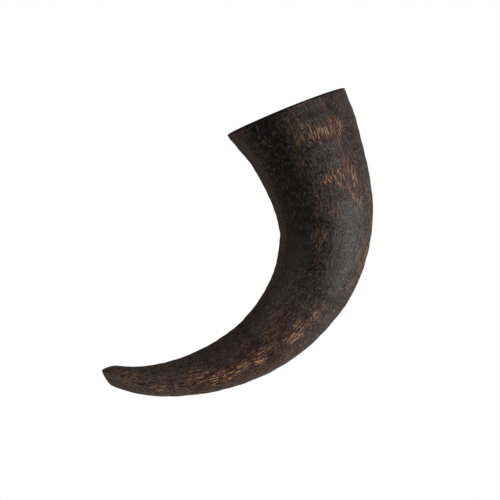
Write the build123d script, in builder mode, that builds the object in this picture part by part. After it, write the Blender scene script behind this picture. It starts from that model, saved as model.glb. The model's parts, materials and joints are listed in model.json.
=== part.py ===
"""A natural horn trumpet: one bovine horn, sawn square at the wide end and drilled through the tip.

The horn lies on its flank on the plane z = 0, with its bend spread out flat in X and Y. The mouth
opens towards +Y in a vertical plane, and the tip curls round to -X. The origin is the middle of the
horn's footprint, at the height of the surface it lies on. Millimetres and degrees throughout.

The horn grew as one piece. It is divided square to its axis where its inside changes: the flared
bell, the hollow bend, the narrowing throat, and the tip, where the hollow closes on the bore.
"""

import os
from math import cos, radians, sin, sqrt

from build123d import *

# The axis: a chain of tangent arcs seen from above. Each row gives an arc's length, how far it
# turns, and the diameter of the horn at its far end, measured across the bend.
MOUTH_DIAMETER = 76.5
AXIS_ARCS = (
    (50.0, 9.0, 62.6),
    (60.0, 44.0, 49.8),
    (60.0, 33.0, 34.4),
    (50.0, 22.0, 22.1),
    (29.0, 17.5, 15.4),
    (19.0, 11.5, 11.8),
)
AXIS_START = (64.81, 72.6)  # where the axis crosses the saw cut
AXIS_LEAN = 5.0  # between the axis at the mouth and the square of the saw cut
MOUTH_OVERRUN = 12.0  # extra length beyond the saw cut, which the cut takes off

FLATNESS_AT_MOUTH = 0.88  # thickness over diameter; the horn is round at the tip
ROUND_END = 13.0  # length of the rounded end of the tip
FLANK_LIFT = 1.2  # most that the flank clears the surface between its three resting places
RESTING_PITCH = 127.0  # distance along the axis between resting places

CAVITY_DEPTH = 196.0
CAVITY_ROUND_END = 9.0
RIM_WALL = 4.2
THROAT_WALL = 9.0

BORE_DIAMETER = 4.5
BORE_REACH = 188.0  # how far along the axis from the mouth the bore breaks into the hollow
BORE_DRIFT = 2.0  # how far outside the axis it does so
CUP_RADIUS = 3.9  # at the middle of the lip face
CUP_DEPTH = 8.0
CUP_OVERRUN = 4.0

LIP_FACE_AT = 263.0  # where the plane of the lip face crosses the axis
LIP_FACE_HEADING = 190.0  # compass of its normal, turning from +X to +Y
LIP_FACE_DIP = 8.0  # how far its normal points down

RIM_EASING = 0.6  # radius on the edges of the saw cut

SECTION_SPACING = 12.0
ROUND_END_STEP = 16.0  # degrees of the quarter circle between sections of a rounded end
# Along the axis, where one stretch ends and the next begins; the tip begins as the hollow closes.
JOINTS = (62.0, 130.0, CAVITY_DEPTH - CAVITY_ROUND_END)
STRETCHES = ("horn_bell", "horn_bend", "horn_throat", "horn_tip")

LENGTH = sum(length for length, _, _ in AXIS_ARCS)

with BuildLine() as axis:
    at = Vector(*AXIS_START)
    tangent = Vector(0, -1).rotate(Axis.Z, AXIS_LEAN)
    for arc_length, turn, _ in AXIS_ARCS:
        arc = JernArc(at, tangent, arc_length / radians(turn), -turn)
        at, tangent = arc @ 1, arc % 1

def diameter(distance):
    """Width of the horn across the bend, before the end of the tip is rounded."""
    start, width = 0.0, MOUTH_DIAMETER
    for arc_length, _, end_width in AXIS_ARCS:
        if distance <= start + arc_length:
            break
        start, width = start + arc_length, end_width
    return width + (end_width - width) * (distance - start) / arc_length

def flatness(distance):
    """Thickness over diameter."""
    return FLATNESS_AT_MOUTH + (1 - FLATNESS_AT_MOUTH) * max(distance, 0) / LENGTH

def rounding(distance, end, length):
    """Share of the diameter left by an elliptical end of that length."""
    return sqrt(max(0, 1 - max(0, (distance - end + length) / length) ** 2))

def cavity_diameter(distance):
    """Width of the hollow, whose wall thickens towards the throat."""
    wall = RIM_WALL + (THROAT_WALL - RIM_WALL) * (max(distance, 0) / CAVITY_DEPTH) ** 2
    return (diameter(distance) - 2 * wall) * rounding(distance, CAVITY_DEPTH, CAVITY_ROUND_END)

def outside_diameter(distance):
    """Width of the horn, with the end of the tip rounded."""
    return diameter(distance) * rounding(distance, LENGTH, ROUND_END)

def section_plane(distance):
    """Upright plane square to the axis, with its normal towards the tip and its X across the bend."""
    wire = axis.wire()
    share = min(max(distance / LENGTH, 0), 1)
    forward = wire % share
    height = diameter(distance) * flatness(distance) / 2
    height += FLANK_LIFT * sin(radians(180 * distance / RESTING_PITCH)) ** 2
    place = wire @ share + forward * min(distance, 0) + Vector(0, 0, height)
    return Plane(origin=place, x_dir=forward.cross(Vector(0, 0, 1)), z_dir=forward)

def stations(end, round_length):
    """Distances of the sections from the mouth to a rounded end."""
    straight = end - round_length
    count = round((straight + MOUTH_OVERRUN) / SECTION_SPACING)
    step = (straight + MOUTH_OVERRUN) / count
    plain = [step * i - MOUTH_OVERRUN for i in range(count + 1)]
    turns = [ROUND_END_STEP * i for i in range(1, int(90 / ROUND_END_STEP) + 1)]
    return plain + [straight + round_length * sin(radians(turn)) for turn in turns]

# The whole horn, sawn at the mouth and cut across the tip.
mouth_face = Plane(origin=AXIS_START, z_dir=(0, 1, 0))
lip_normal = Vector(cos(radians(LIP_FACE_DIP)), 0, -sin(radians(LIP_FACE_DIP)))
lip_face = Plane(
    origin=section_plane(LIP_FACE_AT).origin,
    z_dir=lip_normal.rotate(Axis.Z, LIP_FACE_HEADING),
)
with BuildPart() as blank:
    for station in stations(LENGTH, ROUND_END):
        across = outside_diameter(station) / 2
        with BuildSketch(section_plane(station)):
            Ellipse(across, across * flatness(station))
    loft()
    split(bisect_by=mouth_face, keep=Keep.BOTTOM)
    split(bisect_by=lip_face, keep=Keep.BOTTOM)

# The hollow that the bony core leaves.
with BuildPart() as cavity:
    for station in stations(CAVITY_DEPTH, CAVITY_ROUND_END):
        across = cavity_diameter(station) / 2
        with BuildSketch(section_plane(station)):
            Ellipse(across, across * flatness(station))
    loft()

# The bore, drilled straight from the middle of the lip face until it breaks into the hollow.
lip_centre = blank.faces().filter_by(lip_face).sort_by(Axis.X)[0].center()
break_in = section_plane(BORE_REACH)
bore_way = break_in.origin - break_in.x_dir * BORE_DRIFT - lip_centre
bore_plane = Plane(origin=lip_centre, z_dir=bore_way)
drill_section = Plane(origin=lip_centre, x_dir=bore_plane.x_dir, z_dir=bore_plane.y_dir * -1)
with BuildPart() as drill:
    with BuildSketch(drill_section):
        with BuildLine():
            radius = BORE_DIAMETER / 2
            wall = Line((radius, bore_way.length), (radius, CUP_DEPTH))
            flare = TangentArc(wall @ 1, (CUP_RADIUS, 0), tangent=wall % 1)
            rim = Line(flare @ 1, flare @ 1 + Vector(CUP_OVERRUN / 2, -CUP_OVERRUN))
            top = Line(rim @ 1, (0, -CUP_OVERRUN))
            Polyline(top @ 1, (0, bore_way.length), wall @ 0)
        make_face()
    revolve(axis=Axis(bore_plane.origin, bore_plane.z_dir))

# The worked horn, with the edges of the saw cut eased, and then its four stretches.
with BuildPart() as horn:
    add(blank)
    add(cavity, mode=Mode.SUBTRACT)
    add(drill, mode=Mode.SUBTRACT)
    fillet(faces().filter_by(mouth_face).sort_by(Axis.Y)[-1].edges(), radius=RIM_EASING)

os.makedirs("parts", exist_ok=True)
for index, name in enumerate(STRETCHES):
    with BuildPart() as stretch:
        add(horn)
        if index > 0:
            split(bisect_by=section_plane(JOINTS[index - 1]), keep=Keep.TOP)
        if index < len(JOINTS):
            split(bisect_by=section_plane(JOINTS[index]), keep=Keep.BOTTOM)
    stretch.part.label = name
    export_step(stretch.part, f"parts/{name}.step")
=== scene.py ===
"""The looks of a natural horn trumpet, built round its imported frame.

Lengths are in metres, and a length along the horn is measured from the saw cut at its mouth.
"""

import json
import logging
from bisect import bisect_right
from dataclasses import dataclass, field, replace
from enum import Enum
from math import atan2, cos, exp, pi, radians, sin, sqrt

import bmesh
import bpy
from mathutils import Matrix, Vector, noise


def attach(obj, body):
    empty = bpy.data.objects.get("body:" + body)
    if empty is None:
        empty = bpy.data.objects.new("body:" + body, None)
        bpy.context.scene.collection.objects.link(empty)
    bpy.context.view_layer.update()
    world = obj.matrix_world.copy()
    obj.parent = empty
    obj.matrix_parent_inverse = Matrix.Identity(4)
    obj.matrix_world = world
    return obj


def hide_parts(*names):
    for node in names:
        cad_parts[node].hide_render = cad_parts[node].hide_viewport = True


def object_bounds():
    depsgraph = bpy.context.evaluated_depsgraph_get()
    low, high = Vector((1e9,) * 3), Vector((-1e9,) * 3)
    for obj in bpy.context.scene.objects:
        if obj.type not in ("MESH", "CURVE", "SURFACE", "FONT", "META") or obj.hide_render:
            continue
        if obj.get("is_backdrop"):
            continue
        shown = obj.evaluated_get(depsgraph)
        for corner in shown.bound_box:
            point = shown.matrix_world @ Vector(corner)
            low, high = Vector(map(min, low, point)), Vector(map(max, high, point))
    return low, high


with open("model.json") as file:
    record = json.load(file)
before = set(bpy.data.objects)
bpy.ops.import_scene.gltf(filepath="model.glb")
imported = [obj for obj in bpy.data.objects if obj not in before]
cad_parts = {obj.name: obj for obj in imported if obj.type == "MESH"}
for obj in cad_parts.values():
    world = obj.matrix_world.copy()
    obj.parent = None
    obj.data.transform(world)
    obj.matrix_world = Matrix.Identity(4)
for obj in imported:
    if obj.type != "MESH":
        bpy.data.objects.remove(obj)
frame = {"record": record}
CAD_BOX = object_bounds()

log = logging.getLogger("horn")
MM = 0.001


class Zone(Enum):
    """Where a stretch of surface lies on the horn, in the order of the material slots."""

    SKIN = 0
    SAWN = 1
    HOLLOW = 2


@dataclass(frozen=True)
class Section:
    """One elliptical ring of the horn's surface.

    Its across direction points to the inside of the bend, and up is upwards.
    """

    centre: Vector
    across: Vector
    up: Vector
    half_width: float
    half_height: float
    along: float
    zone: Zone
    skin: float = 0.0
    hollow: float = 0.0

    def point(self, angle: float) -> Vector:
        """The point of the ring at an angle from the inside of the bend."""
        return (
            self.centre
            + self.across * (self.half_width * cos(angle))
            + self.up * (self.half_height * sin(angle))
        )

    def outward(self, angle: float) -> Vector:
        """The direction square to the ring, in its own plane."""
        leaning = self.across * (cos(angle) / self.half_width)
        return (leaning + self.up * (sin(angle) / self.half_height)).normalized()

    def straight(self, angle: float) -> Vector:
        """The same point on the horn when its bend is taken out."""
        return Vector((self.along, self.half_width * cos(angle), self.half_height * sin(angle)))


@dataclass(frozen=True)
class TipSection:
    """A ring between the last plain section and the oblique lip face.

    It follows the skin up to the lip's eased edge, and then goes round that edge into the face.
    """

    axis: "HornAxis"
    root: float
    lip: Vector
    normal: Vector
    share: float
    turn: float = 0.0
    easing: float = 0.6 * MM
    nose_easing: float = 1.1 * MM
    nose_run: float = 8.0 * MM
    heel_easing: float = 0.8 * MM
    heel_run: float = 13.0 * MM
    nose_blunting: float = 0.45
    heel_blunting: float = 0.2
    zone: Zone = Zone.SKIN
    skin: float = 1.0
    hollow: float = 0.0

    def _blend(self, angle: float, nose: float, heel: float) -> float:
        """Adds what belongs to the nose, inside the bend, and to the heel on its outside."""
        return nose * ((1 + cos(angle)) / 2) ** 2 + heel * ((1 - cos(angle)) / 2) ** 2

    def _edge(self, angle: float) -> float:
        """How far along the horn the skin would meet the plane of the lip face."""
        low, high = self.root, self.axis.length
        for _ in range(24):
            middle = (low + high) / 2
            beyond = (self.axis.outer(middle).point(angle) - self.lip).dot(self.normal) > 0
            low, high = (low, middle) if beyond else (middle, high)
        return high

    def _along(self, angle: float) -> float:
        """How far along the horn the ring lies at this angle."""
        start = self._edge(angle) - self.easing - self._blend(angle, self.nose_run, self.heel_run)
        return self.root + (start - self.root) * self.share

    def point(self, angle: float) -> Vector:
        """The point of the ring at an angle from the inside of the bend."""
        start = self.axis.outer(self._along(angle)).point(angle)
        if self.turn == 0:
            return start
        edge = self.axis.outer(self._edge(angle)).point(angle)
        inward = self.lip - edge
        inset = self.easing + self._blend(angle, self.nose_easing, self.heel_easing)
        end = edge + inward.normalized() * min(inset, 0.5 * inward.length)
        blunting = self._blend(angle, self.nose_blunting, self.heel_blunting)
        corner = edge.lerp(start, blunting)
        return start.lerp(corner, self.turn).lerp(corner.lerp(end, self.turn), self.turn)

    def outward(self, angle: float) -> Vector:
        """The direction square to the ring, in its own plane."""
        return self.axis.outer(self._along(angle)).outward(angle)

    def straight(self, angle: float) -> Vector:
        """The same point on the horn when its bend is taken out."""
        return self.axis.outer(self._along(angle)).straight(angle)


@dataclass(frozen=True)
class HornAxis:
    """The horn's axis, a chain of tangent arcs seen from above, and its thickness along it."""

    arcs: tuple[tuple[float, float, float], ...] = (
        (50 * MM, 9.0, 62.6 * MM),
        (60 * MM, 44.0, 49.8 * MM),
        (60 * MM, 33.0, 34.4 * MM),
        (50 * MM, 22.0, 22.1 * MM),
        (29 * MM, 17.5, 15.4 * MM),
        (19 * MM, 11.5, 11.8 * MM),
    )
    mouth_diameter: float = 76.5 * MM
    lean: float = 5.0
    squaring: float = 30 * MM
    flatness_at_mouth: float = 0.88
    flank_lift: float = 1.2 * MM
    resting_pitch: float = 127 * MM
    rim_wall: float = 4.2 * MM
    throat_wall: float = 9 * MM
    cavity_depth: float = 196 * MM
    cavity_end: float = 9 * MM
    round_end: float = 13 * MM
    start_offset: float = 35.39 * MM

    @property
    def length(self) -> float:
        """The whole length of the axis."""
        return sum(arc[0] for arc in self.arcs)

    def start(self) -> Vector:
        """Where the axis crosses the saw cut, from the rim's mount."""
        rim = next(m for m in frame["record"]["mounts"] if m["name"] == "bell_rim")
        return Vector((rim["pos_m"][0] - self.start_offset, rim["pos_m"][1], 0))

    def place(self, along: float) -> tuple[Vector, float]:
        """Finds a point of the axis and the way it heads there.

        Args:
            along: Distance from the mouth.

        Returns:
            The point at floor height, and its heading in degrees from +X towards +Y.
        """
        at, heading, left = self.start(), -90.0 + self.lean, along
        for length, turn, _ in self.arcs:
            step = min(left, length)
            rate = radians(turn) / length
            here = radians(heading)
            gone = here - rate * step
            at = at + Vector((sin(here) - sin(gone), cos(gone) - cos(here), 0)) / rate
            heading -= turn * step / length
            left -= step
            if left <= 0:
                break
        return at, heading

    def diameter(self, along: float) -> float:
        """The horn's width across the bend."""
        start, width = 0.0, self.mouth_diameter
        for length, _, end_width in self.arcs:
            if along <= start + length:
                return width + (end_width - width) * (along - start) / length
            start, width = start + length, end_width
        return width

    def flatness(self, along: float) -> float:
        """Thickness over width."""
        return self.flatness_at_mouth + (1 - self.flatness_at_mouth) * along / self.length

    def outer(self, along: float) -> Section:
        """Makes the ring of the outer skin, whose far end is rounded."""
        into_end = max(0.0, (along - self.length + self.round_end) / self.round_end)
        rounding = max(0.02, sqrt(max(0.0, 1 - into_end**2)))
        plain = self.section(along, Zone.SKIN)
        wide, high = plain.half_width * rounding, plain.half_height * rounding
        return replace(plain, half_width=wide, half_height=high)

    def height(self, along: float) -> float:
        """Height of the axis over the floor."""
        lift = self.flank_lift * sin(pi * along / self.resting_pitch) ** 2
        return self.diameter(along) * self.flatness(along) / 2 + lift

    def hollow_diameter(self, along: float) -> float:
        """Width of the hollow, whose far end is rounded."""
        thickening = (self.throat_wall - self.rim_wall) * (along / self.cavity_depth) ** 2
        into_end = max(0.0, (along - self.cavity_depth + self.cavity_end) / self.cavity_end)
        rounding = sqrt(max(0.0, 1 - into_end**2))
        return (self.diameter(along) - 2 * (self.rim_wall + thickening)) * rounding

    def section(self, along: float, zone: Zone, trim: float = 0.0) -> Section:
        """Makes the ring of the outer skin or of the hollow at a distance from the mouth.

        Args:
            along: Distance from the mouth.
            zone: SKIN or SAWN for the outside, HOLLOW for the inside.
            trim: How much the ring is drawn in on each side.

        Returns:
            The ring, which stands in the plane of the saw cut at the mouth.
        """
        at, heading = self.place(along)
        heading -= self.lean * max(0.0, 1 - along / self.squaring)
        forward = Vector((cos(radians(heading)), sin(radians(heading)), 0))
        inside = zone is Zone.HOLLOW
        width = self.hollow_diameter(along) if inside else self.diameter(along)
        return Section(
            centre=at + Vector((0, 0, self.height(along))),
            across=forward.cross(Vector((0, 0, 1))),
            up=Vector((0, 0, 1)),
            half_width=width / 2 - trim,
            half_height=width * self.flatness(along) / 2 - trim,
            along=along,
            zone=zone,
            skin=0.0 if inside else 1.0,
            hollow=1.0 if inside else 0.0,
        )


@dataclass(frozen=True)
class Ripple:
    """Unevenness of a surface: its height, how fast it changes each way, and a shift of its own."""

    height: float
    along: float
    across: float
    shift: float = 0.0

    def at(self, straight: Vector) -> float:
        """Its height at a place on the horn when its bend is taken out."""
        place = (
            straight.x * self.along,
            straight.y * self.across,
            straight.z * self.across + self.shift,
        )
        return self.height * noise.noise(Vector(place))


@dataclass(frozen=True)
class Relief:
    """How the outside and the inside of the horn depart from a smooth tube.

    Angles are in degrees, from the inside of the bend.
    """

    growth: tuple[Ripple, ...] = (
        Ripple(0.35 * MM, 55, 6, 3.1),
        Ripple(0.32 * MM, 190, 14),
        Ripple(0.5 * MM, 26, 42, 8.3),
        Ripple(0.22 * MM, 14, 170, 1.7),
    )
    full_girth: float = 18 * MM
    trough: float = 1.3 * MM
    trough_angle: float = 52.0
    trough_spread: float = 20.0
    trough_end: float = 125 * MM
    trough_below: float = 0.6
    keel: float = 0.3 * MM
    keel_spread: float = 16.0
    fading: float = 0.7
    flare: float = 1.7 * MM
    flare_reach: float = 16 * MM
    waist: float = 0.9 * MM
    waist_along: float = 32 * MM
    waist_reach: float = 14 * MM
    core: tuple[Ripple, ...] = (Ripple(0.5 * MM, 30, 210), Ripple(0.175 * MM, 160, 160, 5))

    def lean(self, straight: Vector) -> float:
        """How far the mouth leans to the inside of the bend, square to the surface."""
        side = cos(atan2(straight.z, straight.y))
        from_waist = (straight.x - self.waist_along) / self.waist_reach
        flare = self.flare * exp(-((straight.x / self.flare_reach) ** 2)) * side
        waist = self.waist * exp(-(from_waist**2)) * max(0.0, side)
        return flare - waist

    def outside(self, straight: Vector) -> float:
        """Height of the skin over the smooth horn.

        Args:
            straight: Place on the horn when its bend is taken out.

        Returns:
            A length, negative where the skin is hollow.
        """
        angle = abs(atan2(straight.z, straight.y))
        taper = min(1.0, (abs(straight.y) + abs(straight.z)) / self.full_girth)
        growth = sum(ripple.at(straight) for ripple in self.growth)
        spread = (angle - radians(self.trough_angle)) / radians(self.trough_spread)
        fade = max(0.0, 1 - straight.x / self.trough_end) ** self.fading
        trough = self.trough * exp(-(spread**2)) * fade
        if straight.z < 0:
            trough *= self.trough_below
        keel = self.keel * exp(-((angle / radians(self.keel_spread)) ** 2)) * fade
        return growth * taper - trough + keel + self.lean(straight)

    def inside(self, straight: Vector) -> float:
        """Height of the hollow's wall over a smooth one, which the bony core's grooves leave."""
        return sum(ripple.at(straight) for ripple in self.core) + self.lean(straight)


@dataclass
class Horn:
    """The horn and its worked ends, which is modelled whole and then divided at its joints."""

    axis: HornAxis = field(default_factory=HornAxis)
    relief: Relief = field(default_factory=Relief)
    joints: tuple[float, ...] = (62 * MM, 130 * MM, 187 * MM)
    nodes: tuple[str, ...] = ("horn_bell", "horn_bend", "horn_throat", "horn_tip")
    segments: int = 48
    spacing: float = 3.1 * MM
    levels: int = 2
    rim_easing: float = 0.6 * MM
    tip_start: float = 232 * MM
    tip_rings: int = 8
    edge_turns: tuple[float, ...] = (0.12, 0.26, 0.42, 0.58, 0.74, 0.88, 1.0)
    lip_heading: float = 190.0
    lip_dip: float = 8.0
    lip_along: float = 262 * MM
    lip_half_width: float = 6.6 * MM
    lip_half_height: float = 4.9 * MM
    cup_radius: float = 3.9 * MM
    cup_depth: float = 8 * MM
    cup_shares: tuple[float, ...] = (0.07, 0.2, 0.4, 0.6, 0.8, 1.0)
    cup_widening: float = 1.12
    cup_margin: float = 1.15
    cup_turning: float = 1.6
    face_shares: tuple[float, ...] = (0.1, 0.02)
    cup_from_mount: float = 34 * MM
    bore_end: float = 66 * MM
    bore_overlap: float = 0.5 * MM
    hollow_end_turns: tuple[float, ...] = (78, 62, 45, 28, 14)
    joint_nearness: float = 0.3

    def _stations(self, ends: tuple[float, ...]) -> list[float]:
        """Evenly spaced distances that include each of the given ends."""
        stations = [ends[0]]
        for low, high in zip(ends, ends[1:]):
            count = max(1, round((high - low) / self.spacing))
            stations += [low + (high - low) * (i + 1) / count for i in range(count)]
        return stations

    def _bore(self) -> tuple[Vector, Vector, float]:
        """Finds the lip's middle, the way into the bore and the bore's radius."""
        mount = next(m for m in frame["record"]["mounts"] if m["name"] == "blowing_bore")
        inward = -Vector(mount["axis"]).normalized()
        lip = Vector(mount["pos_m"]) - inward * self.cup_from_mount
        return lip, inward, mount["dims"]["r_mm"] * MM

    def _lip_normal(self) -> Vector:
        """Which way the lip face looks."""
        heading, dip = radians(self.lip_heading), radians(self.lip_dip)
        return Vector((cos(heading) * cos(dip), sin(heading) * cos(dip), -sin(dip)))

    def _tip_sections(self) -> list[TipSection]:
        """Rings of the outer skin from the last plain section to the lip face."""
        lip, _, _ = self._bore()
        normal = self._lip_normal()
        shares = [(step + 1) / self.tip_rings for step in range(self.tip_rings)]
        rings = [TipSection(self.axis, self.tip_start, lip, normal, share) for share in shares]
        edge = [
            TipSection(self.axis, self.tip_start, lip, normal, 1.0, turn, skin=1 - 0.5 * turn)
            for turn in self.edge_turns
        ]
        return rings + edge

    def _bore_sections(self) -> list[Section]:
        """Rings of the lip face, the cup and the bore, from the lip inwards."""
        lip, inward, radius = self._bore()
        normal = self._lip_normal()
        face_across = normal.cross(Vector((0, 0, 1))).normalized()
        face_up = face_across.cross(normal)
        along_lip = self.lip_along
        along_end = self.axis.cavity_depth - self.bore_overlap
        square = inward.cross(Vector((0, 0, 1))).normalized()
        if square.dot(face_across) < 0:
            square = -square
        lift = square.cross(inward).normalized()
        if lift.z < 0:
            lift = -lift
        sections = []
        wide = self.cup_radius * self.cup_margin
        for share in self.face_shares:
            sections.append(
                Section(
                    centre=lip,
                    across=face_across,
                    up=face_up,
                    half_width=wide + (self.lip_half_width - wide) * share,
                    half_height=self.cup_radius
                    + (self.lip_half_height - self.cup_radius) * share,
                    along=along_lip,
                    zone=Zone.SAWN,
                )
            )
        depths = [self.cup_depth * share for share in self.cup_shares]
        run = self._stations((self.cup_depth, self.bore_end))[1:]
        for depth in depths + run:
            share = min(1.0, depth / self.cup_depth)
            flare = (self.cup_radius - radius) * (1 - share) ** 2
            blend = min(1.0, share * self.cup_turning)
            across = face_across.lerp(square, blend).normalized()
            up = face_up.lerp(lift, blend).normalized()
            stretch = self.cup_widening + (1 - self.cup_widening) * blend
            sections.append(
                Section(
                    centre=lip + inward * depth,
                    across=across,
                    up=up,
                    half_width=(radius + flare) * stretch,
                    half_height=radius + flare,
                    along=along_lip - (along_lip - along_end) * depth / self.bore_end,
                    zone=Zone.HOLLOW,
                )
            )
        return sections

    def _sections(self) -> list[Section]:
        """All rings in one chain: along the outside, into the bore and back to the mouth."""
        axis, easing = self.axis, self.rim_easing
        outside = [
            axis.section(0, Zone.SKIN, easing),
            axis.section(0.25 * easing, Zone.SKIN, 0.25 * easing),
        ]
        outside += [
            axis.section(along, Zone.SKIN)
            for along in self._stations((easing, *self.joints, self.tip_start))
        ]
        closing = axis.cavity_depth - axis.cavity_end
        end = [
            axis.section(closing + axis.cavity_end * sin(radians(turn)), Zone.HOLLOW)
            for turn in self.hollow_end_turns
        ]
        inside = [
            axis.section(along, Zone.HOLLOW)
            for along in reversed(self._stations((easing, *self.joints[:2], closing)))
        ]
        rim = [
            axis.section(0.25 * easing, Zone.HOLLOW, -0.25 * easing),
            axis.section(0, Zone.HOLLOW, -easing),
        ]
        return outside + self._tip_sections() + self._bore_sections() + end + inside + rim

    def _chain(self, sections: list[Section]) -> bpy.types.Object:
        """Extrudes a circle through every section and closes the rim.

        Args:
            sections: The rings in order.

        Returns:
            The closed horn, before it is refined.
        """
        bpy.ops.object.select_all(action="DESELECT")
        bpy.ops.mesh.primitive_circle_add(vertices=self.segments, radius=sections[0].half_width)
        horn = bpy.context.object
        horn.name = "horn_whole"
        bpy.ops.object.mode_set(mode="EDIT")
        mesh = bmesh.from_edit_mesh(horn.data)
        mesh.verts.layers.float.new("turn")
        for name in ("straight", "outward"):
            mesh.verts.layers.float_vector.new(name)
        for name in ("side", "skin", "hollow", "step"):
            mesh.verts.layers.float.new(name)
        turns = mesh.verts.layers.float["turn"]
        for vertex in mesh.verts:
            vertex[turns] = atan2(vertex.co.y, vertex.co.x)
        for step, section in enumerate(sections):
            if step:
                bpy.ops.mesh.extrude_region_move()
                mesh = bmesh.from_edit_mesh(horn.data)
            turns = mesh.verts.layers.float["turn"]
            straight = mesh.verts.layers.float_vector["straight"]
            outward = mesh.verts.layers.float_vector["outward"]
            numbers = mesh.verts.layers.float
            for vertex in (v for v in mesh.verts if v.select):
                angle = vertex[turns]
                vertex.co = section.point(angle)
                vertex[straight] = section.straight(angle)
                vertex[outward] = section.outward(angle)
                vertex[numbers["side"]] = cos(angle)
                vertex[numbers["skin"]] = section.skin
                vertex[numbers["hollow"]] = section.hollow
                vertex[numbers["step"]] = step
        bpy.ops.mesh.select_all(action="DESELECT")
        bpy.ops.mesh.select_mode(type="EDGE")
        bpy.ops.mesh.select_non_manifold()
        bpy.ops.mesh.bridge_edge_loops()
        mesh = bmesh.from_edit_mesh(horn.data)
        steps = mesh.verts.layers.float["step"]
        straight = mesh.verts.layers.float_vector["straight"]
        stretch = mesh.faces.layers.int.new("stretch")
        for face in mesh.faces:
            levels = sorted(round(v[steps]) for v in face.verts)
            rim = levels[-1] - levels[0] > 1
            face.material_index = (Zone.SAWN if rim else sections[levels[-1]].zone).value
            middle = sum(v[straight].x for v in face.verts) / len(face.verts)
            face[stretch] = bisect_right(self.joints, middle)
            face.smooth = True
        bpy.ops.mesh.select_all(action="SELECT")
        bpy.ops.mesh.normals_make_consistent(inside=False)
        bpy.ops.object.mode_set(mode="OBJECT")
        return horn

    def _refine(self, horn: bpy.types.Object) -> None:
        """Subdivides the horn and works its relief into it."""
        modifier = horn.modifiers.new("refine", "SUBSURF")
        modifier.levels = modifier.render_levels = self.levels
        bpy.ops.object.modifier_apply(modifier=modifier.name)
        data = horn.data
        layer = data.attributes
        for index, vertex in enumerate(data.vertices):
            straight = Vector(layer["straight"].data[index].vector)
            outward = Vector(layer["outward"].data[index].vector).normalized()
            skin, hollow = layer["skin"].data[index].value, layer["hollow"].data[index].value
            if skin > 0:
                vertex.co += outward * (self.relief.outside(straight) * skin)
            if hollow > 0:
                vertex.co += outward * (self.relief.inside(straight) * hollow)
        lowest = min(vertex.co.z for vertex in data.vertices)
        log.info("lowest point of the skin %.2f mm", lowest / MM)
        data.update()

    def _keep_normals(self, data: bpy.types.Mesh) -> None:
        """Stores the whole horn's smooth normals, for the stretches to share at their joints."""
        store = data.attributes.new("whole_normal", "FLOAT_VECTOR", "POINT")
        for index, vertex in enumerate(data.vertices):
            store.data[index].vector = vertex.normal

    def _divide(self, horn: bpy.types.Object, index: int) -> bpy.types.Object:
        """Cuts one closed stretch out of the whole horn.

        Args:
            horn: The whole horn.
            index: Which stretch, counted from the mouth.

        Returns:
            The stretch, with flat walls where it meets its neighbours.
        """
        piece = horn.copy()
        piece.data = horn.data.copy()
        piece.name = piece.data.name = f"{self.nodes[index]}_skin"
        bpy.context.collection.objects.link(piece)
        bpy.ops.object.select_all(action="DESELECT")
        piece.select_set(True)
        bpy.context.view_layer.objects.active = piece
        bpy.ops.object.mode_set(mode="EDIT")
        bpy.ops.mesh.select_mode(type="FACE")
        bpy.ops.mesh.select_all(action="DESELECT")
        mesh = bmesh.from_edit_mesh(piece.data)
        stretch = mesh.faces.layers.int["stretch"]
        for face in mesh.faces:
            face.select = face[stretch] != index
        bpy.ops.mesh.delete(type="FACE")
        bpy.ops.mesh.select_mode(type="EDGE")
        for joint in self.joints[max(0, index - 1) : index + 1]:
            bpy.ops.mesh.select_all(action="DESELECT")
            mesh = bmesh.from_edit_mesh(piece.data)
            straight = mesh.verts.layers.float_vector["straight"]
            reach = self.joint_nearness * self.spacing
            for edge in mesh.edges:
                near = all(abs(v[straight].x - joint) < reach for v in edge.verts)
                edge.select = edge.is_boundary and near
            bpy.ops.mesh.bridge_edge_loops()
            mesh = bmesh.from_edit_mesh(piece.data)
            stretch = mesh.faces.layers.int["stretch"]
            for face in (f for f in mesh.faces if f.select):
                face[stretch] = -1
                face.smooth = False
                face.material_index = Zone.SAWN.value
        bpy.ops.mesh.select_all(action="SELECT")
        bpy.ops.mesh.normals_make_consistent(inside=False)
        bpy.ops.object.mode_set(mode="OBJECT")
        self._share_normals(piece.data)
        return piece

    def _share_normals(self, data: bpy.types.Mesh) -> None:
        """Gives a stretch the whole horn's normals, and its joint walls their own."""
        whole = data.attributes["whole_normal"].data
        stretch = data.attributes["stretch"].data
        normals = [Vector((0, 0, 0))] * len(data.loops)
        for face in data.polygons:
            for loop in face.loop_indices:
                shared = Vector(whole[data.loops[loop].vertex_index].vector)
                normals[loop] = face.normal if stretch[face.index].value < 0 else shared
        data.normals_split_custom_set(normals)
        for name in ("whole_normal", "stretch", "turn", "outward", "skin", "hollow", "step"):
            data.attributes.remove(data.attributes[name])

    def build(self, materials: list[bpy.types.Material]) -> list[bpy.types.Object]:
        """Models the horn and divides it.

        Args:
            materials: One for each zone, in the zones' order.

        Returns:
            The four stretches, dressed and attached to the root body.
        """
        whole = self._chain(self._sections())
        for material in materials:
            whole.data.materials.append(material)
        self._refine(whole)
        self._keep_normals(whole.data)
        pieces = []
        for index, node in enumerate(self.nodes):
            piece = self._divide(whole, index)
            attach(piece, "root")
            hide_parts(node)
            pieces.append(piece)
            log.info("%s: %d faces", piece.name, len(piece.data.polygons))
        bpy.data.objects.remove(whole)
        return pieces


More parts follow.
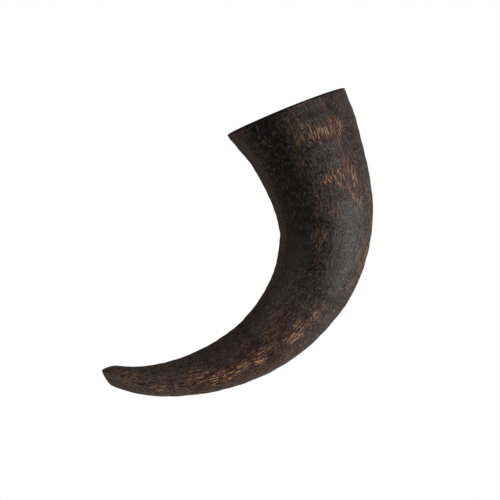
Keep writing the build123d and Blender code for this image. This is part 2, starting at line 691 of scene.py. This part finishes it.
class Value:
    """A number on a shader socket, which Python's operators work on by adding Math nodes."""

    def __init__(self, shader: "Shader", socket: bpy.types.NodeSocket) -> None:
        """Wraps a socket of a shader."""
        self.shader = shader
        self.socket = socket

    def _math(self, operation: str, *terms: "Value | float") -> "Value":
        """Adds a Math node with the given terms."""
        made = self.shader.node("ShaderNodeMath", {"operation": operation}, dict(enumerate(terms)))
        return Value(self.shader, made.outputs[0])

    def __add__(self, other: "Value | float") -> "Value":
        """Sum."""
        return self._math("ADD", self, other)

    __radd__ = __add__

    def __sub__(self, other: "Value | float") -> "Value":
        """Difference."""
        return self._math("SUBTRACT", self, other)

    def __rsub__(self, other: "Value | float") -> "Value":
        """Difference the other way round."""
        return self._math("SUBTRACT", other, self)

    def __mul__(self, other: "Value | float") -> "Value":
        """Product."""
        return self._math("MULTIPLY", self, other)

    __rmul__ = __mul__

    def rise(self, low: float, high: float) -> "Value":
        """Goes smoothly from 0 to 1 as this value goes from low to high."""
        settings = {"interpolation_type": "SMOOTHSTEP"}
        links = {"Value": self, "From Min": low, "From Max": high}
        made = self.shader.node("ShaderNodeMapRange", settings, links)
        return Value(self.shader, made.outputs["Result"])


class Shader:
    """One material and the calls that add its nodes."""

    def __init__(self, name: str) -> None:
        """Starts a material with an empty node tree."""
        self.material = bpy.data.materials.new(name)
        self.material.use_nodes = True
        self.tree = self.material.node_tree
        self.tree.nodes.clear()

    def node(self, kind: str, settings: dict, inputs: dict) -> bpy.types.Node:
        """Adds a node.

        Args:
            kind: Its type.
            settings: Its own properties, set first.
            inputs: Values, links or wrapped values for its sockets, by name or number.

        Returns:
            The node.
        """
        made = self.tree.nodes.new(kind)
        for name, setting in settings.items():
            setattr(made, name, setting)
        for name, value in inputs.items():
            if isinstance(value, Value):
                value = value.socket
            if isinstance(value, bpy.types.NodeSocket):
                self.tree.links.new(value, made.inputs[name])
            else:
                made.inputs[name].default_value = value
        return made

    def place(self) -> bpy.types.NodeSocket:
        """The place on the straightened horn."""
        settings = {"attribute_type": "GEOMETRY", "attribute_name": "straight"}
        return self.node("ShaderNodeAttribute", settings, {}).outputs["Vector"]

    def side(self) -> Value:
        """How far towards the inside of the bend the surface looks, from -1 to 1."""
        settings = {"attribute_type": "GEOMETRY", "attribute_name": "side"}
        return Value(self, self.node("ShaderNodeAttribute", settings, {}).outputs["Fac"])

    def along(self, place: bpy.types.NodeSocket) -> Value:
        """Distance from the mouth."""
        return Value(self, self.node("ShaderNodeSeparateXYZ", {}, {0: place}).outputs["X"])

    def stretched(
        self, place: bpy.types.NodeSocket, scale: tuple[float, float, float], turn: float = 0.0
    ) -> bpy.types.NodeSocket:
        """Scales a place along and across the horn, and turns it about the upward axis."""
        links = {"Vector": place, "Scale": scale, "Rotation": (0.0, 0.0, turn)}
        return self.node("ShaderNodeMapping", {}, links).outputs["Vector"]

    def noise(
        self, place: bpy.types.NodeSocket, scale: float, detail: float, rough: float
    ) -> Value:
        """Fractal noise from about 0 to 1."""
        links = {"Vector": place, "Scale": scale, "Detail": detail, "Roughness": rough}
        return Value(self, self.node("ShaderNodeTexNoise", {}, links).outputs[0])

    def warped(
        self, place: bpy.types.NodeSocket, scale: float, reach: float
    ) -> bpy.types.NodeSocket:
        """Stirs a place by noise, so that what is laid out there gets ragged edges."""
        links = {"Vector": place, "Scale": scale, "Detail": 3.0}
        stirred = self.node("ShaderNodeTexNoise", {}, links)
        links = {0: stirred.outputs["Color"], 1: (0.5, 0.5, 0.5)}
        centred = self.node("ShaderNodeVectorMath", {"operation": "SUBTRACT"}, links)
        links = {0: centred.outputs[0], 1: (2 * reach, 2 * reach, 2 * reach), 2: place}
        return self.node("ShaderNodeVectorMath", {"operation": "MULTIPLY_ADD"}, links).outputs[0]

    def cells(self, place: bpy.types.NodeSocket, scale: float) -> Value:
        """Distance to the middle of the nearest of many scattered cells."""
        links = {"Vector": place, "Scale": scale}
        return Value(self, self.node("ShaderNodeTexVoronoi", {}, links).outputs["Distance"])

    def spot(
        self,
        place: bpy.types.NodeSocket,
        middle: tuple[float, float, float],
        reach: tuple[float, float, float],
    ) -> Value:
        """A soft patch, 1 at its middle and 0 at its reach.

        Args:
            place: The place on the straightened horn.
            middle: The patch's middle there.
            reach: How far it goes along, across and up.

        Returns:
            The patch's strength.
        """
        away = self.node("ShaderNodeVectorMath", {"operation": "SUBTRACT"}, {0: place, 1: middle})
        shares = {0: away.outputs[0], 1: reach}
        scaled = self.node("ShaderNodeVectorMath", {"operation": "DIVIDE"}, shares)
        length = self.node("ShaderNodeVectorMath", {"operation": "LENGTH"}, {0: scaled.outputs[0]})
        return 1 - Value(self, length.outputs["Value"]).rise(0.35, 1.0)

    def mix(
        self,
        share: Value | float,
        under: bpy.types.NodeSocket | tuple[float, ...],
        over: bpy.types.NodeSocket | tuple[float, ...],
    ) -> bpy.types.NodeSocket:
        """Lays one colour over another."""
        links = {"Factor": share, 6: under, 7: over}
        return self.node("ShaderNodeMix", {"data_type": "RGBA"}, links).outputs[2]

    def finish(
        self,
        colour: bpy.types.NodeSocket,
        roughness: Value,
        height: Value,
        relief: float,
        gloss: float = 0.5,
    ) -> bpy.types.Material:
        """Joins the colour, roughness and height to the surface.

        Args:
            colour: Base colour.
            roughness: Roughness.
            height: Bump height, from about 0 to 1.
            relief: The depth in metres that a height of 1 stands for.
            gloss: Specular level.

        Returns:
            The material.
        """
        links = {"Height": height, "Distance": relief, "Strength": 1.0}
        bump = self.node("ShaderNodeBump", {}, links)
        links = {
            "Base Color": colour,
            "Roughness": roughness,
            "Normal": bump.outputs["Normal"],
            "Specular IOR Level": gloss,
        }
        surface = self.node("ShaderNodeBsdfPrincipled", {}, links)
        self.node("ShaderNodeOutputMaterial", {}, {"Surface": surface.outputs["BSDF"]})
        return self.material


def tint(red: float, green: float, blue: float) -> tuple[float, float, float, float]:
    """A linear colour from display values of 0 to 255."""
    return (*((value / 255) ** 2.2 for value in (red, green, blue)), 1.0)


@dataclass(frozen=True)
class Pattern:
    """Fractal noise laid along the horn: its fineness each way, its detail and its turn."""

    along: float
    across: float
    detail: float = 3.0
    rough: float = 0.6
    turn: float = 0.0

    def on(self, shader: Shader, place: bpy.types.NodeSocket) -> Value:
        """Lays it on a place."""
        scale = (self.along, self.across, self.across)
        return shader.noise(shader.stretched(place, scale, self.turn), 1.0, self.detail, self.rough)


@dataclass(frozen=True)
class Scuff:
    """A place on the upper flank where the skin is rubbed through, in millimetres."""

    along: float
    across: float
    reach_along: float
    reach_across: float
    strength: float = 1.0

    def middle(self, axis: HornAxis) -> tuple[float, float, float]:
        """Its middle on the straightened horn."""
        section = axis.section(self.along * MM, Zone.SKIN)
        share = min(1.0, abs(self.across * MM / section.half_width))
        return (self.along * MM, self.across * MM, section.half_height * sqrt(1 - share**2))

    def reach(self) -> tuple[float, float, float]:
        """How far it goes along, across and up."""
        up = max(2 * self.reach_across, 12)
        return (self.reach_along * MM, self.reach_across * MM, up * MM)


@dataclass(frozen=True)
class SkinFinish:
    """Scraped and polished horn: near-black brown, with paler fibres where layers are cut."""

    deep: tuple[float, ...] = tint(13, 7, 5)
    body: tuple[float, ...] = tint(73, 55, 47)
    # pale dust colour, also used as a painted sheen on the outer side
    dust_and_sheen: tuple[float, ...] = tint(126, 108, 98)
    glaze: tuple[float, ...] = tint(88, 50, 38)
    warm: tuple[float, ...] = tint(104, 60, 42)
    tan: tuple[float, ...] = tint(232, 178, 136)
    red: tuple[float, ...] = tint(134, 72, 54)
    # painted highlight: this paler keel colour stands in for rim light caught along the inner edge
    keel: tuple[float, ...] = tint(104, 82, 66)
    speck: tuple[float, ...] = tint(206, 190, 172)
    # a blue-black line along the mouth's rim
    blue_black_rim: tuple[float, ...] = tint(15, 17, 23)
    relief: float = 0.45 * MM
    gloss: float = 0.4
    grain: Pattern = Pattern(300, 1000, 4.0, 0.7)
    speckle: Pattern = Pattern(760, 1150, 2.0, 0.6, 0.2)
    strands: Pattern = Pattern(130, 1400, 3.0, 0.65)
    crossed: Pattern = Pattern(290, 1150, 3.0, 0.65, 0.3)
    threads: Pattern = Pattern(45, 900)
    fibres: Pattern = Pattern(45, 520, 4.0)
    bands: Pattern = Pattern(9, 190)
    clouds: Pattern = Pattern(16, 40, 3.0, 0.5)
    growth: Pattern = Pattern(115, 12, 3.0, 0.55)
    scratches: Pattern = Pattern(190, 1900, 1.0, 0.4, 0.45)
    crossing: Pattern = Pattern(1700, 130, 1.0, 0.4, -0.25)
    tans: tuple[Scuff, ...] = (
        Scuff(0.5, -7, 1.6, 11, 0.6),
        Scuff(22, -19, 11, 8, 0.9),
        Scuff(22, -9, 12, 8, 0.6),
        Scuff(16, 0, 13, 12, 0.35),
        Scuff(49, -8, 7, 11, 0.9),
        Scuff(52, -19, 20, 6, 0.6),
        Scuff(67, -6, 8, 5, 0.4),
        Scuff(80, 4, 10, 9, 0.35),
        Scuff(124, -11, 12, 6, 0.6),
        Scuff(141, -8, 11, 7, 0.9),
        Scuff(152, 2, 12, 8, 0.4),
        Scuff(166, -5, 16, 6, 0.9),
        Scuff(186, -6, 20, 5, 1.0),
        Scuff(205, 0, 14, 6, 0.6),
        Scuff(229, -4, 15, 3, 0.9),
        Scuff(246, 1, 12, 5, 0.7),
    )
    reds: tuple[Scuff, ...] = (
        Scuff(10, -18.6, 20, 0.7),
        Scuff(34, -18.2, 24, 0.6),
        Scuff(14, -20.4, 18, 0.5, 0.7),
        Scuff(24, -17.6, 26, 0.4, 0.7),
        Scuff(44, -16.4, 20, 0.5, 0.7),
    )

    def _scuffed(
        self, shader: Shader, place: bpy.types.NodeSocket, scuffs: tuple[Scuff, ...]
    ) -> Value:
        """Adds up the strengths of several scuffs."""
        axis = HornAxis()
        first, *others = (
            shader.spot(place, scuff.middle(axis), scuff.reach()) * scuff.strength
            for scuff in scuffs
        )
        return sum(others, first)

    def material(self) -> bpy.types.Material:
        """Makes the material of the horn's outside."""
        shader = Shader("horn_skin")
        place = shader.place()
        side = shader.side()
        along = shader.along(place)
        near_mouth = 1 - along.rise(0.08, 0.15)
        lower = along.rise(0.11, 0.17)
        # near_tip makes the tip paler below: partly real dust and fibres, partly painted light for
        # a tip that is lit more
        near_tip = along.rise(0.19, 0.25)
        ragged = shader.warped(place, 120.0, 5 * MM)
        wavy = shader.warped(place, 70.0, 0.9 * MM)
        curled = shader.warped(wavy, 190.0, 1.1 * MM)
        grain = self.grain.on(shader, place)
        speckle = self.speckle.on(shader, place)
        strands = self.strands.on(shader, curled)
        crossed = self.crossed.on(shader, curled)
        threads = self.threads.on(shader, place)
        fibres = self.fibres.on(shader, place)
        bands = self.bands.on(shader, place)
        clouds = self.clouds.on(shader, place)
        growth = self.growth.on(shader, place)
        lines = self.scratches.on(shader, place).rise(0.62, 0.68)
        marks = self.crossing.on(shader, place).rise(0.64, 0.7) * clouds.rise(0.4, 0.55)
        mottle = shader.noise(place, 75.0, 6.0, 0.7)
        pits = 1 - shader.cells(place, 900.0).rise(0.1, 0.35)
        dots = (1 - shader.cells(place, 430.0).rise(0.06, 0.16)) * clouds.rise(0.4, 0.56)
        scuffs = self._scuffed(shader, ragged, self.tans).rise(0.0, 0.9)
        scuffs = scuffs + clouds.rise(0.55, 0.78) * 0.35
        reds = self._scuffed(shader, wavy, self.reds) * threads.rise(0.38, 0.5)
        # painted shade: the trough along the inner flank near the mouth is darkened with the deep
        # colour, as if it lay in shade
        trough = side.rise(0.1, 0.45) * (1 - side.rise(0.8, 0.9)) * near_mouth
        # painted highlight along the keel at the inner edge near the mouth
        keel = side.rise(0.84, 0.93) * near_mouth
        # the outer side, made paler below: partly dust, partly painted sheen
        outer = 1 - side.rise(-0.95, -0.35)
        lip = 1 - along.rise(0.0006, 0.0016)
        pale = mottle.rise(0.38, 0.62) * 0.5 + grain.rise(0.44, 0.56) * 0.5
        layers = (
            (lower * clouds.rise(0.3, 0.6) * 0.55, self.glaze),
            # more pale strands towards the tip, partly painted light
            (strands.rise(0.52, 0.6) * (0.42 + near_tip * 0.25), self.dust_and_sheen),
            ((1 - strands.rise(0.38, 0.46)) * 0.55, self.deep),
            (bands.rise(0.48, 0.62) * near_mouth * 0.7, self.deep),
            (growth.rise(0.48, 0.62) * 0.55, self.deep),
            # paler outer side and tip: partly dust, partly painted sheen on the outer side and
            # painted light at the tip
            ((outer * 0.2 + near_tip * 1.2) * grain.rise(0.4, 0.58), self.dust_and_sheen),
            (speckle.rise(0.56, 0.63) * (0.15 + mottle * 0.5), self.dust_and_sheen),
            ((1 - speckle.rise(0.37, 0.44)) * 0.7, self.deep),
            # painted shade in the trough near the mouth
            (trough * (0.6 + strands * 0.5), self.deep),
            # painted highlight on the keel
            (keel * grain.rise(0.3, 0.6) * 0.7, self.keel),
            (scuffs * crossed.rise(0.44, 0.6) * 0.7, self.warm),
            (scuffs * strands.rise(0.53, 0.61) * 0.85, self.tan),
            (scuffs * (1 - crossed.rise(0.4, 0.47)) * 0.75, self.deep),
            (reds.rise(0.15, 0.8) * 0.6, self.red),
            ((lines + marks) * 0.45, self.dust_and_sheen),
            (dots * 0.75, self.speck),
            # blue-black line painted along the mouth's rim
            (lip * 0.85, self.blue_black_rim),
        )
        colour = shader.mix(pale, self.deep, self.body)
        for share, tone in layers:
            colour = shader.mix(share, colour, tone)
        roughness = 0.38 + mottle * 0.12 + scuffs * 0.12 + pits * 0.08
        height = (
            grain * 0.35 + fibres * 0.4 + threads * 0.3 + growth * 0.2 + speckle * 0.2
            + strands * (0.2 + scuffs * 0.3) - pits * 0.25 - lines * 0.35 - marks * 0.3
        )
        return shader.finish(colour, roughness, height, self.relief, self.gloss)


@dataclass(frozen=True)
class SawnFinish:
    """Sawn and rubbed horn at the rim and the lip, where the cut layers show as fine rings."""

    dark: tuple[float, ...] = tint(26, 24, 26)
    pale: tuple[float, ...] = tint(96, 88, 80)
    relief: float = 0.12 * MM
    layers: Pattern = Pattern(300, 900, 3.0, 0.55)

    def material(self) -> bpy.types.Material:
        """Makes the material of the cut faces."""
        shader = Shader("horn_sawn")
        place = shader.place()
        layers = self.layers.on(shader, place)
        mottle = shader.noise(place, 130.0, 3.0, 0.55)
        saw = shader.noise(shader.stretched(place, (10, 160, 2600)), 1.0, 1.0, 0.4)
        colour = shader.mix(mottle.rise(0.42, 0.72) * 0.7 + layers * 0.2, self.dark, self.pale)
        roughness = 0.36 + layers * 0.2
        return shader.finish(colour, roughness, layers * 0.5 + saw * 0.5, self.relief)


@dataclass(frozen=True)
class HollowFinish:
    """The raw inner wall, grooved by the bony core and dull with dust."""

    dark: tuple[float, ...] = tint(40, 30, 23)
    pale: tuple[float, ...] = tint(112, 92, 70)
    relief: float = 0.5 * MM
    gloss: float = 0.3
    grooves: Pattern = Pattern(50, 420, 4.0)

    def material(self) -> bpy.types.Material:
        """Makes the material of the hollow and the bore."""
        shader = Shader("horn_hollow")
        place = shader.place()
        grooves = self.grooves.on(shader, place)
        mottle = shader.noise(place, 90.0, 4.0, 0.6)
        colour = shader.mix((grooves * 0.6 + mottle * 0.5).rise(0.4, 0.8), self.dark, self.pale)
        roughness = 0.6 + mottle * 0.25
        height = grooves * 0.7 + mottle * 0.4
        return shader.finish(colour, roughness, height, self.relief, self.gloss)


@dataclass(frozen=True)
class Softbox:
    """A square light that faces the horn, with its power in watts."""

    name: str
    offset: tuple[float, float, float]
    size: float
    power: float

    def hang(self, aim: Vector) -> None:
        """Hangs it at its offset from the aim, and turns it there."""
        light = bpy.data.lights.new(self.name, "AREA")
        light.size, light.energy = self.size, self.power
        place = aim + Vector(self.offset)
        lamp = bpy.data.objects.new(self.name, light)
        lamp.location = place
        lamp.rotation_euler = (place - aim).to_track_quat("Z", "Y").to_euler()
        bpy.context.collection.objects.link(lamp)


@dataclass(frozen=True)
class Studio:
    """A pale floor, soft lights and a camera straight above.

    The floor and the room look white to the camera, but light the horn only dimly.
    """

    frame_width: float = 0.3053
    lens: float = 135.0
    sensor: float = 36.0
    aim: tuple[float, float, float] = (0.0112, 0.0025, 0.030)
    roll: float = -21.91
    floor_size: float = 3.0
    world_strength: float = 0.04
    lights: tuple[Softbox, ...] = (
        Softbox("key", (0.72, -0.68, 0.52), 0.7, 9.5),
        Softbox("fill", (-0.9, 0.5, 0.6), 0.8, 2.6),
    )

    def floor(self) -> None:
        """Lays the floor at the height that the horn lies on, white to the camera."""
        bpy.ops.object.select_all(action="DESELECT")
        bpy.ops.mesh.primitive_plane_add(size=self.floor_size, location=(0, 0, CAD_BOX[0].z))
        floor = bpy.context.object
        floor.name = "floor"
        shader = Shader("floor_paper")
        place = shader.node("ShaderNodeTexCoord", {}, {}).outputs["Object"]
        grain = shader.noise(place, 30.0, 2.0, 0.5)
        colour = shader.mix(grain, tint(206, 206, 206), tint(212, 212, 212))
        paper = shader.finish(colour, 0.9 + grain * 0.05, grain, 0.01 * MM, 0.1)
        lit = paper.node_tree.nodes["Principled BSDF"].outputs["BSDF"]
        links = {"Color": tint(255, 255, 255), "Strength": 1.0}
        glow = shader.node("ShaderNodeEmission", {}, links)
        seen = shader.node("ShaderNodeLightPath", {}, {}).outputs["Is Camera Ray"]
        links = {0: seen, 1: lit, 2: glow.outputs["Emission"]}
        both = shader.node("ShaderNodeMixShader", {}, links)
        output = paper.node_tree.nodes["Material Output"]
        paper.node_tree.links.new(both.outputs["Shader"], output.inputs["Surface"])
        floor.data.materials.append(paper)
        floor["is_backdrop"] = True

    def world(self) -> None:
        """Fills the room with even, dim light, and shows it white to the camera."""
        world = bpy.data.worlds.new("studio")
        bpy.context.scene.world = world
        world.use_nodes = True
        nodes, links = world.node_tree.nodes, world.node_tree.links
        dim = nodes["Background"]
        dim.inputs["Color"].default_value = (1.0, 1.0, 1.0, 1.0)
        dim.inputs["Strength"].default_value = self.world_strength
        white = nodes.new("ShaderNodeBackground")
        white.inputs["Color"].default_value = (1.0, 1.0, 1.0, 1.0)
        white.inputs["Strength"].default_value = 1.0
        both = nodes.new("ShaderNodeMixShader")
        seen = nodes.new("ShaderNodeLightPath")
        links.new(seen.outputs["Is Camera Ray"], both.inputs[0])
        links.new(dim.outputs[0], both.inputs[1])
        links.new(white.outputs[0], both.inputs[2])
        links.new(both.outputs[0], nodes["World Output"].inputs["Surface"])

    def camera(self) -> None:
        """Sets the camera over the horn, rolled so that the mouth is at the top right."""
        data = bpy.data.cameras.new("camera")
        data.lens, data.sensor_width = self.lens, self.sensor
        camera = bpy.data.objects.new("camera", data)
        distance = self.frame_width * self.lens / self.sensor
        place = Vector(self.aim) + Vector((0, 0, distance))
        roll = Matrix.Rotation(radians(self.roll), 4, "Z")
        camera.matrix_world = Matrix.Translation(place) @ roll
        bpy.context.collection.objects.link(camera)
        bpy.context.scene.camera = camera

    def build(self) -> None:
        """Sets up the floor, the lights and the camera."""
        bpy.context.scene.view_settings.view_transform = "Standard"
        self.floor()
        self.world()
        for light in self.lights:
            light.hang(Vector(self.aim))
        self.camera()


def write_sizes() -> None:
    """Gathers the CAD's box and the visual model's box as lists; nothing is written."""
    boxes = {"cad": CAD_BOX, "visual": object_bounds()}
    plain = {name: [list(corner) for corner in box] for name, box in boxes.items()}


def main() -> None:
    """Builds the horn and its studio."""
    logging.basicConfig(level=logging.INFO, format="%(name)s: %(message)s")
    Studio().build()
    Horn().build([SkinFinish().material(), SawnFinish().material(), HollowFinish().material()])
    write_sizes()


if __name__ == "__main__":
    main()
